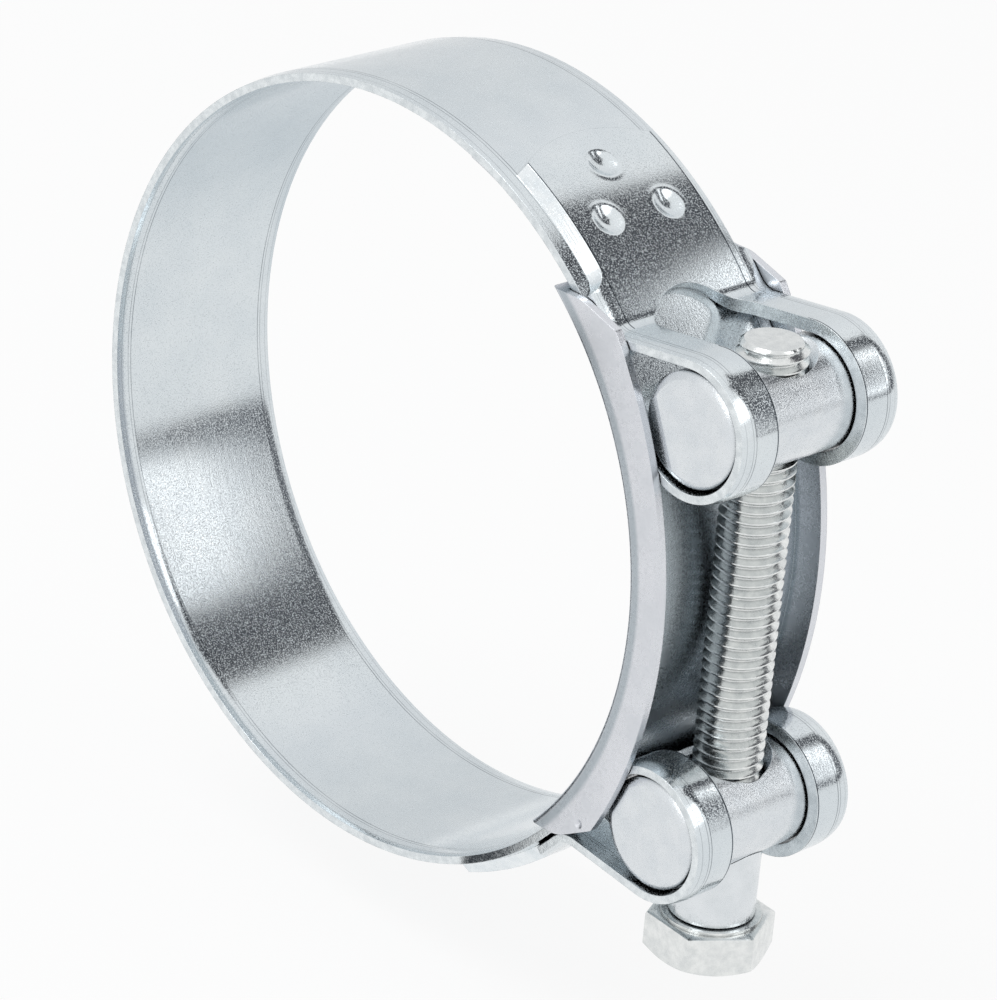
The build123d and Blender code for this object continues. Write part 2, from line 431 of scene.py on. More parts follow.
# Forged head and rolled thread: a slightly warmer plate, and rounder edges
BOLT = ZincPlate(
    "Zinc plate on forged and rolled steel",
    "#E8EAE9",
    "#D8DBDB",
    roughness=0.09,
    patch_roughness=0.05,
    patch_size=1.2,
    crystal_size=0.2,
    crystal_rise=0.012,
    edge_radius=0.06,
    # Painted shade: darker, from surfaces closer by, so the thread's roots go dark between the crests
    gap_shade="#55585A",
    gap_shade_reach=0.65,
)


def add_object(name: str, data: bpy.types.ID) -> bpy.types.Object:
    """Put a mesh, a lamp or a camera in the scene as an object at the origin."""
    piece = bpy.data.objects.new(name, data)
    bpy.context.scene.collection.objects.link(piece)
    return piece


def finish_mesh(mesh: bpy.types.Mesh, sharp_angle: float) -> None:
    """Shade a mesh smooth, with a sharp edge wherever its faces meet at more than an angle.

    Args:
        mesh: The mesh.
        sharp_angle: The angle in degrees.
    """
    mesh.shade_smooth()
    mesh.set_sharp_from_angle(angle=math.radians(sharp_angle))


def merged_copy(node: str, name: str, sharp_angle: float) -> bpy.types.Object:
    """Copy a CAD node's mesh, merge its loose triangles, and shade it.

    Args:
        node: The CAD node.
        name: The name of the new piece.
        sharp_angle: The angle in degrees from which an edge is sharp.

    Returns:
        The new piece.
    """
    shape = bmesh.new()
    shape.from_mesh(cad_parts[node].data)
    bmesh.ops.remove_doubles(shape, verts=shape.verts, dist=0.001 * MM)
    mesh = bpy.data.meshes.new(name)
    shape.to_mesh(mesh)
    shape.free()
    finish_mesh(mesh, sharp_angle)
    return add_object(name, mesh)


def ring_mesh(name: str, rings: Sequence[Sequence[Vector]]) -> bpy.types.Mesh:
    """Make a closed mesh from rings of points, from one end to the other, with a cap on each end.

    Args:
        name: The mesh's name.
        rings: The rings, all with the same number of points.

    Returns:
        The mesh, with its faces outwards.
    """
    shape = bmesh.new()
    made = [[shape.verts.new(point) for point in ring] for ring in rings]
    count = len(made[0])
    for lower, upper in zip(made, made[1:]):
        for i in range(count):
            j = (i + 1) % count
            shape.faces.new((lower[i], lower[j], upper[j], upper[i]))
    shape.faces.new(made[0][::-1])
    shape.faces.new(made[-1])
    bmesh.ops.recalc_face_normals(shape, faces=shape.faces)
    mesh = bpy.data.meshes.new(name)
    shape.to_mesh(mesh)
    shape.free()
    return mesh


def cut_out(piece: bpy.types.Object, tool: bpy.types.Mesh) -> None:
    """Cut the space that a closed mesh takes up out of a piece.

    Args:
        piece: The piece.
        tool: The closed mesh.
    """
    cutter = add_object("cutter", tool)
    step = piece.modifiers.new("Cut", "BOOLEAN")
    step.operation = "DIFFERENCE"
    step.solver = "EXACT"
    step.object = cutter
    evaluated = piece.evaluated_get(bpy.context.evaluated_depsgraph_get())
    mesh = bpy.data.meshes.new_from_object(evaluated)
    piece.modifiers.clear()
    piece.data = mesh
    bpy.data.objects.remove(cutter)


def report(piece: bpy.types.Object, body: str) -> None:
    """Log a piece's name, body, faces and box."""
    corners = [Vector(c) for c in piece.bound_box]
    low = [round(min(c[i] for c in corners) / MM, 2) for i in range(3)]
    high = [round(max(c[i] for c in corners) / MM, 2) for i in range(3)]
    log.info("%s rides on %s: %d faces, %s to %s mm", piece.name, body, len(piece.data.polygons), low, high)


def dress(
    piece: bpy.types.Object, body: str, node: str, finishes: Iterable[ZincPlate]
) -> bpy.types.Object:
    """Give a piece its materials, attach it to the body that it rides on, hide the CAD node that it replaces,
    and log it.
        finishes: Its finishes, in the order of its faces' material numbers.

    Returns:
        The piece.
    """
    numbers = [0] * len(piece.data.polygons)
    piece.data.polygons.foreach_get("material_index", numbers)
    piece.data.materials.clear()
    for finish in finishes:
        piece.data.materials.append(finish.material())
    piece.data.polygons.foreach_set("material_index", numbers)
    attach(piece, body)
    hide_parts(node)
    report(piece, body)
    return piece


def direction(angle: float) -> Vector:
    """Give the unit vector at an angle in degrees, from +X towards +Z."""
    return Vector((math.cos(math.radians(angle)), 0.0, math.sin(math.radians(angle))))


def spread(first: float, last: float, steps: int) -> list[float]:
    """Give evenly spaced numbers from the first to the last, both included."""
    return [first + (last - first) * i / steps for i in range(steps + 1)]


@dataclass(frozen=True)
class Row:
    """One row of points across half of the strip, from its middle to its edge."""

    middle: Vector  # middle of the strip's thickness, in millimetres
    facing: float  # where the face that is outside on the ring looks, in degrees
    slot: float = 6.75  # half of the slot's width
    reach: float = 12.0  # half of the strip's width
    angle: Optional[float] = None  # round the ring, on the tail alone
    end_share: float = 0.0  # how far the row follows the tail's round end
    narrow: float = 0.0  # how far the strip has narrowed to the tail's width


@dataclass
class Band:
    """The slotted strip, rolled to a ring and folded back round both cross pins.

    A quarter of it is made as rows across the strip, from the ring's far side to the tail's end,
    and then mirrored to the other edge and to the lower half.
    """

    body: str = "clamp"
    bore_radius: float = 45.5
    thickness: float = 1.5
    width: float = 24.0
    bevel_width: float = 1.8
    bevel_depth: float = 0.25
    edge_ease: float = 0.3  # how far the inner face curves away at the edge
    slot_width: float = 13.5
    slot_rise: float = 3.0
    strand_land: float = 9.0
    lift_angle: float = 41.6
    bend_radius: float = 2.5
    tail_width: float = 18.8
    tail_skirt: float = 0.9
    tail_seat: float = 0.03
    shoulder_angle: float = 45.8
    end_angle: float = 69.0
    end_radius: float = 18.0
    end_rows_from: float = 60.5
    end_rows: int = 40
    welds: tuple[tuple[float, float], ...] = ((62.9, 0.0), (54.6, 4.6), (54.6, -4.6))
    weld_radius: float = 1.95
    weld_depth: float = 0.6
    weld_rim: float = 0.04
    pin_x: float = 49.6
    pin_angle: float = 26.2
    pin_radius: float = 6.5
    pin_clearance: float = 0.25
    flat_columns: int = 36
    bevel_columns: int = 3
    land_columns: int = 6
    ring_rows: int = 60
    land_rows: int = 8
    strand_rows: int = 4
    loop_rows: int = 60
    return_counts: tuple[int, int, int] = (6, 10, 80)  # rows on the straight, the bend and the tail's base
    sharp_angle: float = 30.0

    def __post_init__(self) -> None:
        """Work out the centre line from the sizes."""
        half = self.thickness / 2
        self.ring_middle = self.bore_radius + half
        self.tail_middle = self.bore_radius + 3 * half
        self.tail_outer = self.bore_radius + 4 * half
        self.pin = Vector((self.pin_x, 0.0, self.pin_x * math.tan(math.radians(self.pin_angle))))
        self.loop_middle = self.pin_radius + self.pin_clearance + half
        self.bend_middle = self.bend_radius + half
        self.bend = direction(self.lift_angle) * (self.tail_middle + self.bend_middle)
        self.strand_angle = self.touch(Vector((0, 0, 0)), self.ring_middle, 1)
        self.return_angle = self.touch(self.bend, self.bend_middle, -1)
        self.bend_turn = self.lift_angle - 180 - self.return_angle
        self.middle_angle = (self.shoulder_angle + self.end_angle) / 2
        self.tail_crown = self.tail_outer * math.sin(
            math.radians((self.end_angle - self.shoulder_angle) / 2)
        )

    def touch(self, centre: Vector, radius: float, side: int) -> float:
        """Give the angle where a line that crosses over to the loop leaves a circle.

        Args:
            centre: The circle's centre.
            radius: The circle's radius.
            side: 1 or -1, for the two lines that there are.

        Returns:
            The angle in degrees.
        """
        run = self.pin - centre
        swing = math.degrees(math.acos((radius + self.loop_middle) / run.length))
        return math.degrees(math.atan2(run.z, run.x)) + side * swing

    def slot_half(self, middle: Vector) -> float:
        """Give half of the slot's width near its round end.

        Args:
            middle: A point of the centre line.

        Returns:
            The half width in millimetres, 0 past the end.
        """
        across = self.return_angle + self.bend_turn / 2
        bend_point = self.bend + direction(across) * self.bend_middle
        past = (middle - bend_point).dot(direction(across + 270))
        radius = self.slot_width / 2
        from_centre = past - (self.slot_rise - radius)
        if from_centre <= 0:
            return radius
        return math.sqrt(max(radius**2 - from_centre**2, 0.0))

    def tail_half(self, angle: float) -> float:
        """Give half of the tail's width at an angle round the ring.

        Args:
            angle: The angle in degrees.

        Returns:
            The half width in millimetres.
        """
        along = self.tail_outer * math.sin(math.radians(angle - self.middle_angle)) + self.tail_crown
        hollow = self.width / 2 - self.tail_width / 2
        if along <= 0:
            return self.width / 2
        if along >= hollow:
            return self.tail_width / 2
        return self.width / 2 - math.sqrt(hollow**2 - (along - hollow) ** 2)

    def tail_row(self, angle: float, end_share: float = 0.0) -> Row:
        """Give a row on the tail.

        Args:
            angle: The row's angle round the ring.
            end_share: How far it follows the round end.

        Returns:
            The row.
        """
        middle = direction(angle) * self.tail_middle
        half = self.tail_half(angle)
        full = self.width / 2
        narrow = (full - half) / (full - self.tail_width / 2)
        return Row(middle, angle - 180, self.slot_half(middle), half, angle, end_share, narrow)

    def return_rows(self) -> list[Row]:
        """Give the rows from the loop's top to the end of the slot and the tail's base."""
        start = self.pin - direction(self.return_angle) * self.loop_middle
        stop = self.bend + direction(self.return_angle) * self.bend_middle

        def at(share: float) -> Row:
            """Give a row by its share: 0 to 1 on the straight, 1 to 2 on the bend, then on the tail."""
            if share <= 1:
                middle = start.lerp(stop, share)
                return Row(middle, self.return_angle, self.slot_half(middle))
            if share <= 2:
                angle = self.return_angle + self.bend_turn * (share - 1)
                middle = self.bend + direction(angle) * self.bend_middle
                return Row(middle, angle, self.slot_half(middle))
            return self.tail_row(self.lift_angle + (share - 2) * (self.end_rows_from - self.lift_angle))

        shares = []
        for part, count in enumerate(self.return_counts):
            shares += spread(float(part), part + 1.0, count)[1:]
        # More rows where the slot's round end closes and where the tail's hollow shoulders start
        full = self.slot_width / 2
        for i in range(1, 15):
            shares.append(self.narrowing(at, full * math.cos(math.radians(6 * i)), 0.0, 40)[0])
        shares.append(self.narrowing(at, 0.0, 1.0, 50)[1])
        hollow = self.width / 2 - self.tail_width / 2
        for i in range(1, 8):
            along = hollow * (1 - math.cos(math.radians(12 * i))) - self.tail_crown
            angle = self.middle_angle + math.degrees(math.asin(along / self.tail_outer))
            shares.append(2 + (angle - self.lift_angle) / (self.end_rows_from - self.lift_angle))
        return [at(share) for share in sorted(shares)]

    @staticmethod
    def narrowing(
        at: Callable[[float], Row], wanted: float, low: float, rounds: int
    ) -> tuple[float, float]:
        """Close in on the place where the slot narrows to a wanted half width.

        Args:
            at: The function that gives a row by its share.
            wanted: The half width in millimetres.
            low: A share at which the slot is still wider.
            rounds: How often the search halves its range.

        Returns:
            The last share found that is wider, and the first that isn't.
        """
        high = 2.5
        for _ in range(rounds):
            centre = (low + high) / 2
            low, high = (centre, high) if at(centre).slot > wanted else (low, centre)
        return low, high

    def rows(self) -> tuple[list[Row], int]:
        """Give all rows of the quarter.

        Returns:
            The rows, from the ring's far side to the tail's end, and the number of the row at
            which the slot starts.
        """
        rows = []
        for angle in spread(180.0, self.strand_angle, self.ring_rows):
            rows.append(Row(direction(angle) * self.ring_middle, angle))
        first = direction(self.strand_angle) * self.ring_middle
        last = self.pin - direction(self.strand_angle) * self.loop_middle
        length = (last - first).length
        for run in spread(0.0, self.strand_land, self.land_rows)[1:]:
            rows.append(Row(first.lerp(last, run / length), self.strand_angle))
        land = len(rows) - 1
        for run in spread(self.strand_land, length, self.strand_rows)[1:]:
            rows.append(Row(first.lerp(last, run / length), self.strand_angle))
        for angle in spread(self.strand_angle + 180, self.return_angle + 540, self.loop_rows)[1:]:
            rows.append(Row(self.pin + direction(angle) * self.loop_middle, angle + 180))
        rows += self.return_rows()
        for share in spread(0.0, 1.0, self.end_rows)[1:]:
            rows.append(self.tail_row(self.end_rows_from, share))
        return rows, land

    def dent(self, angle: float, across: float) -> float:
        """Give the height of the tail's visible face over its roll.

        Args:
            angle: The angle round the ring.
            across: The distance from the strip's middle.

        Returns:
            The height in millimetres, below 0 in a weld's dent and above 0 on its rim.
        """
        height = 0.0
        for weld_angle, weld_across in self.welds:
            along = math.radians(angle - weld_angle) * self.tail_outer
            ratio = math.hypot(along, across - weld_across) / self.weld_radius
            if ratio < 1:
                height -= self.weld_depth * (1 - ratio**2)
            height += self.weld_rim * math.exp(-(((ratio - 1.1) / 0.14) ** 2))
        return height

    def point(self, row: Row, across: float, outer: bool) -> Vector:
        """Give a point of the strip.

        Args:
            row: Its row.
            across: Its distance from the strip's middle.
            outer: Whether it is on the ring's outer face.

        Returns:
            The point in metres.
        """
        middle, facing = row.middle, row.facing
        if row.end_share > 0:
            flat = min(across, self.tail_width / 2)
            past = self.tail_crown - self.end_radius + math.sqrt(self.end_radius**2 - flat**2)
            end = self.middle_angle + math.degrees(math.asin(past / self.tail_outer))
            angle = self.end_rows_from + (end - self.end_rows_from) * row.end_share
            facing = angle - 180
            middle = direction(angle) * self.tail_middle
        on_edge = max(across - (self.width / 2 - self.bevel_width), 0.0) / self.bevel_width
        if outer:
            lift = self.thickness / 2 - self.bevel_depth * on_edge
            if row.angle is not None:
                lift += self.tail_seat * min(row.narrow * 3, 1.0)
        else:
            lift = self.edge_ease * on_edge**2 * (1 - row.narrow) - self.thickness / 2
            if row.angle is not None:
                lift -= self.dent(facing + 180, across)
        return (middle + direction(facing) * lift + Vector((0.0, across, 0.0))) * MM

    def columns(self, row: Row, reach: float) -> list[float]:
        """Give the distances from the strip's middle at which a row has its points.

        Args:
            row: The row.
            reach: Half of the strip's width there.

        Returns:
            The distances, from the slot's side to the strip's edge.
        """
        inside = min(self.width / 2 - self.bevel_width, reach)
        return spread(row.slot, inside, self.flat_columns) + spread(inside, reach, self.bevel_columns)[1:]

    def quarter(self) -> bmesh.types.BMesh:
        """Make the quarter of the band, open where its mirror images join it."""
        shape = bmesh.new()
        rows, land = self.rows()
        apex = next(i for i, row in enumerate(rows) if row.slot <= 0)

        def cover(first: Sequence[Any], second: Sequence[Any], finish: int) -> None:
            """Lay faces between two lines of points: 0 is the strip, 1 sheared and 2 the tail's side."""
            for a, b, c, d in zip(first, first[1:], second[1:], second):
                shape.faces.new((a, b, c, d)).material_index = finish

        tops, bottoms, land_tops, land_bottoms = [], [], [], []
        for i, row in enumerate(rows):
            skirt = self.tail_skirt * row.narrow
            outer, inner = self.columns(row, row.reach + skirt), self.columns(row, row.reach)
            tops.append([shape.verts.new(self.point(row, y, True)) for y in outer])
            bottoms.append([shape.verts.new(self.point(row, y, False)) for y in inner])
            if i <= land:
                middle = spread(0.0, row.slot, self.land_columns)
                land_tops.append([shape.verts.new(self.point(row, y, True)) for y in middle])
                land_bottoms.append([shape.verts.new(self.point(row, y, False)) for y in middle])
        for lines in (tops, bottoms, land_tops, land_bottoms):
            for first, second in zip(lines, lines[1:]):
                cover(first, second, 0)
        self.bevel_line = {self.place_key(line[self.flat_columns].co) for line in tops}
        tail = next(i for i, row in enumerate(rows) if row.narrow > 0.5)
        for start, stop, finish in ((0, tail, 1), (tail, len(rows) - 1, 2)):
            span = slice(start, stop + 1)
            cover([line[-1] for line in tops[span]], [line[-1] for line in bottoms[span]], finish)
        cover([line[0] for line in tops[land : apex + 1]], [line[0] for line in bottoms[land : apex + 1]], 1)
        cover(land_tops[-1], land_bottoms[-1], 1)
        cover(tops[-1], bottoms[-1], 1)
        return shape

    def mesh(self) -> bpy.types.Mesh:
        """Mirror the quarter to the whole band, and shade it.

        Returns:
            The band's mesh.
        """
        shape = self.quarter()
        for axis in ("Y", "Z"):
            everything = shape.verts[:] + shape.edges[:] + shape.faces[:]
            copy = bmesh.ops.duplicate(shape, geom=everything)
            points = [part for part in copy["geom"] if isinstance(part, bmesh.types.BMVert)]
            scale = (1, -1, 1) if axis == "Y" else (1, 1, -1)
            bmesh.ops.scale(shape, vec=scale, verts=points)
        bmesh.ops.remove_doubles(shape, verts=shape.verts, dist=0.002 * MM)
        bmesh.ops.recalc_face_normals(shape, faces=shape.faces)
        mesh = bpy.data.meshes.new("slotted_band")
        shape.to_mesh(mesh)
        shape.free()
        finish_mesh(mesh, self.sharp_angle)
        for edge in mesh.edges:
            if all(self.place_key(mesh.vertices[v].co) in self.bevel_line for v in edge.vertices):
                edge.use_edge_sharp = True
        return mesh

    @staticmethod
    def place_key(place: Vector) -> tuple[float, float, float]:
        """Give a point's place in the quarter that it is a mirror image of."""
        return round(place.x, 7), round(abs(place.y), 7), round(abs(place.z), 7)

    def build(self) -> bpy.types.Object:
        """Build and dress the band."""
        piece = add_object("slotted_band", self.mesh())
        return dress(piece, self.body, "band", (STRIP, SHEARED, TAIL_SIDE))


@dataclass
class Bridge:
    """The curved channel under the gap in the band, with flanges turned out over the band's edges."""

    body: str = "clamp"
    inner: float = 44.45
    outer: float = 45.45
    flange_inside: float = 12.1
    flange_outside: float = 13.1
    flange_reach: float = 52.2
    tongue_width: float = 21.0
    bend_radius: float = 0.6
    bend_steps: int = 6
    bottom_angle: float = -43.0
    top_angle: float = 74.0
    steps: int = 156
    edge_radius: float = 55.2  # of the flanges' outer edge, about a centre behind the bore's axis
    edge_centre: float = -6.0
    edge_steps: int = 80
    break_reach: float = 47.6  # where the level part of a flange's end turns into the slope
    break_radius: float = 5.0
    corner_radius: float = 0.6
    ends: tuple[tuple[float, float], ...] = ((-39.2, 30.0), (45.4, -17.0))  # each break's place and slope
    punch: tuple[float, float] = (48.4, -34.0)
    punch_radius: float = 0.6
    punch_depth: float = 0.35
    punch_steps: int = 20
    fillet_steps: int = 8
    waste_reach: float = 80.0  # of the blanks that are cut away, well past the flanges
    sharp_angle: float = 30.0

    def section(self, angle: float) -> list[Vector]:
        """Give the channel's outline at an angle round the ring."""
        outward, side = direction(angle), Vector((0.0, 1.0, 0.0))
        turns = [math.pi / 2 * i / self.bend_steps for i in range(self.bend_steps + 1)]
        bend = [
            (
                self.inner + self.bend_radius * (1 - math.cos(t)),
                self.flange_outside - self.bend_radius * (1 - math.sin(t)),
            )
            for t in turns
        ]
        half = [
            *bend,
            (self.flange_reach, self.flange_outside),
            (self.flange_reach, self.flange_inside),
            (self.outer, self.flange_inside),
        ]
        outline = half + [(r, -y) for r, y in reversed(half)]
        return [(outward * r + side * y) * MM for r, y in outline]

    def edge(self) -> list[Vector]:
        """Give the line that the flanges' ends and outer edges follow, from the bottom to the top."""
        slopes = []
        for angle, slope in self.ends:
            start, way = direction(angle) * self.break_reach, direction(slope)
            offset = start - Vector((self.edge_centre, 0.0, 0.0))
            along = offset.dot(way)
            reach = math.sqrt(along**2 - offset.length_squared + self.edge_radius**2) - along
            slopes.append((start, start + way * reach))
        (low, low_edge), (high, high_edge) = slopes
        first, last = (
            math.degrees(math.atan2(p.z, p.x - self.edge_centre)) for p in (low_edge, high_edge)
        )
        centre = Vector((self.edge_centre, 0.0, 0.0))
        arc = [centre + direction(a) * self.edge_radius for a in spread(first, last, self.edge_steps)]
        corners = [
            (Vector((0.0, 0.0, low.z)), 0.0),
            (low, self.break_radius),
            (low_edge, self.corner_radius),
            *((point, 0.0) for point in arc[1:-1]),
            (high_edge, self.corner_radius),
            (high, self.break_radius),
            (Vector((0.0, 0.0, high.z)), 0.0),
        ]
        line = []
        for i, (corner, radius) in enumerate(corners):
            if not radius:
                line.append(corner)
                continue
            back = (corners[i - 1][0] - corner).normalized()
            onward = (corners[i + 1][0] - corner).normalized()
            half = back.angle(onward) / 2
            middle = corner + (back + onward).normalized() * radius / math.sin(half)
            ends = [(corner + way * radius / math.tan(half) - middle).normalized() for way in (back, onward)]
            line += [middle + ends[0].slerp(ends[1], t) * radius for t in spread(0.0, 1.0, self.fillet_steps)]
        return line

    def build(self) -> bpy.types.Object:
        """Roll the channel, blank the flanges' ends, punch the near one, and dress it."""
        angles = spread(self.bottom_angle, self.top_angle, self.steps)
        rings = [self.section(angle) for angle in angles]
        piece = add_object("flanged_bridge", ring_mesh("flanged_bridge", rings))
        far = self.waste_reach
        frame_corners = [(0.0, far), (far, far), (far, -far), (0.0, -far)]
        waste = self.edge() + [Vector((x, 0.0, z)) for x, z in frame_corners]
        for side in (1, -1):
            reach = (self.tongue_width / 2, self.flange_outside + 1.0)
            levels = [Vector((0.0, side * y, 0.0)) for y in reach]
            blanks = [[(point + level) * MM for point in waste] for level in levels]
            cut_out(piece, ring_mesh("waste", blanks))
        reach, angle = self.punch
        turns = spread(0.0, 360.0, self.punch_steps)[:-1]
        rings = []
        for depth, radius in ((-1.0, 2.0), (1.0, 0.05)):
            level = self.punch_depth * depth - self.flange_outside
            place = direction(angle) * reach + Vector((0.0, level, 0.0))
            rings.append([(place + direction(t) * self.punch_radius * radius) * MM for t in turns])
        cut_out(piece, ring_mesh("punch", rings))
        finish_mesh(piece.data, self.sharp_angle)
        return dress(piece, self.body, "bridge", (BRIDGE,))


@dataclass
class CrossPin:
    """A pin cropped from bar, with rounded ends and a countersunk cross hole.

    The cropping pulls one side of each end down to a shallow slope with a straight edge.
    """

    node: str
    height: float
    hole_diameter: float
    slope: tuple[float, float, float]  # the way it faces, how far out it starts, and how steep it is
    body: str = "clamp"
    axis_x: float = 49.6
    diameter: float = 13.0
    half_length: float = 11.9
    edge_width: float = 0.95
    edge_depth: float = 0.5
    edge_turns: tuple[float, float] = (30.0, 60.0)  # the part of a quarter turn that the rounding takes
    countersink_diameter: float = 11.4
    steps: int = 120
    arc_steps: int = 8
    crop_reach: float = 5.0
    outside: float = 1.0  # how far a tool stands out of the pin
    sharp_angle: float = 7.0

    def profile(self) -> list[tuple[float, float]]:
        """Give half of the pin's outline.

        Returns:
            Points as (radius, place along the pin), from one end to the other.
        """
        radius = self.diameter / 2
        first, last = (math.radians(turn) for turn in self.edge_turns)
        width, depth = math.sin(last) - math.sin(first), math.cos(first) - math.cos(last)
        end = [
            (
                radius - self.edge_width * (math.sin(last) - math.sin(turn)) / width,
                self.half_length - self.edge_depth * (math.cos(first) - math.cos(turn)) / depth,
            )
            for turn in spread(first, last, self.arc_steps)
        ]
        return [(r, -y) for r, y in end] + [(r, y) for r, y in reversed(end)]

    def turned(self, name: str, profile: Sequence[tuple[float, float]], upright: bool) -> bpy.types.Mesh:
        """Turn a profile round the pin's axis or round the bolt's.

        Args:
            name: The mesh's name.
            profile: Points as (radius, place along the axis).
            upright: Whether the axis is the bolt's.

        Returns:
            The closed mesh.
        """
        centre = Vector((self.axis_x, 0.0, self.height))
        rings = []
        for radius, along in profile:
            ring = []
            for i in range(self.steps):
                turn = 2 * math.pi * i / self.steps
                across, up = radius * math.cos(turn), radius * math.sin(turn)
                offset = (across, up, along) if upright else (across, along, up)
                ring.append((centre + Vector(offset)) * MM)
            rings.append(ring)
        return ring_mesh(name, rings)

    def cropped_side(self, side: int) -> bpy.types.Mesh:
        """Make the wedge that the cropping takes off one end: 1 is the far end and -1 the near one."""
        facing, start, steepness = self.slope
        out, along = direction(facing), direction(facing + 90)
        rise = math.tan(math.radians(steepness))
        reach, past = self.crop_reach, self.outside
        profile = [
            (start, 0.0),
            (start + reach, -reach * rise),
            (start + reach, past),
            (start, past),
        ]
        centre = Vector((self.axis_x, 0.0, self.height))
        rings = []
        for step in (-self.diameter, self.diameter):
            ring = []
            for far_out, proud in profile:
                level = Vector((0.0, side * (self.half_length + proud), 0.0))
                ring.append((centre + out * far_out + along * step + level) * MM)
            rings.append(ring)
        return ring_mesh("cropped_side", rings)

    def build(self) -> bpy.types.Object:
        """Turn the pin, drill and countersink it, crop its ends, and dress it."""
        name = f"{self.node}_pin"
        piece = add_object(name, self.turned(name, self.profile(), upright=False))
        hole, rim, reach = self.hole_diameter / 2, self.countersink_diameter / 2, self.diameter / 2
        outside = self.outside
        drill = [
            (rim + outside, -reach - outside),
            (hole, -reach + rim - hole),
            (hole, reach - rim + hole),
            (rim + outside, reach + outside),
        ]
        cut_out(piece, self.turned("drill", drill, upright=True))
        for side in (1, -1):
            cut_out(piece, self.cropped_side(side))
        finish_mesh(piece.data, self.sharp_angle)
        return dress(piece, self.body, self.node, (PIN,))


@dataclass
class SpacerSleeve:
    """The tube between the lower cross pin and the bolt's head."""

    body: str = "sleeve"
    sharp_angle: float = 25.0

    def build(self) -> bpy.types.Object:
        """Build and dress the sleeve."""
        piece = merged_copy("spacer_sleeve", "coped_sleeve", self.sharp_angle)
        return dress(piece, self.body, "spacer_sleeve", (SLEEVE,))


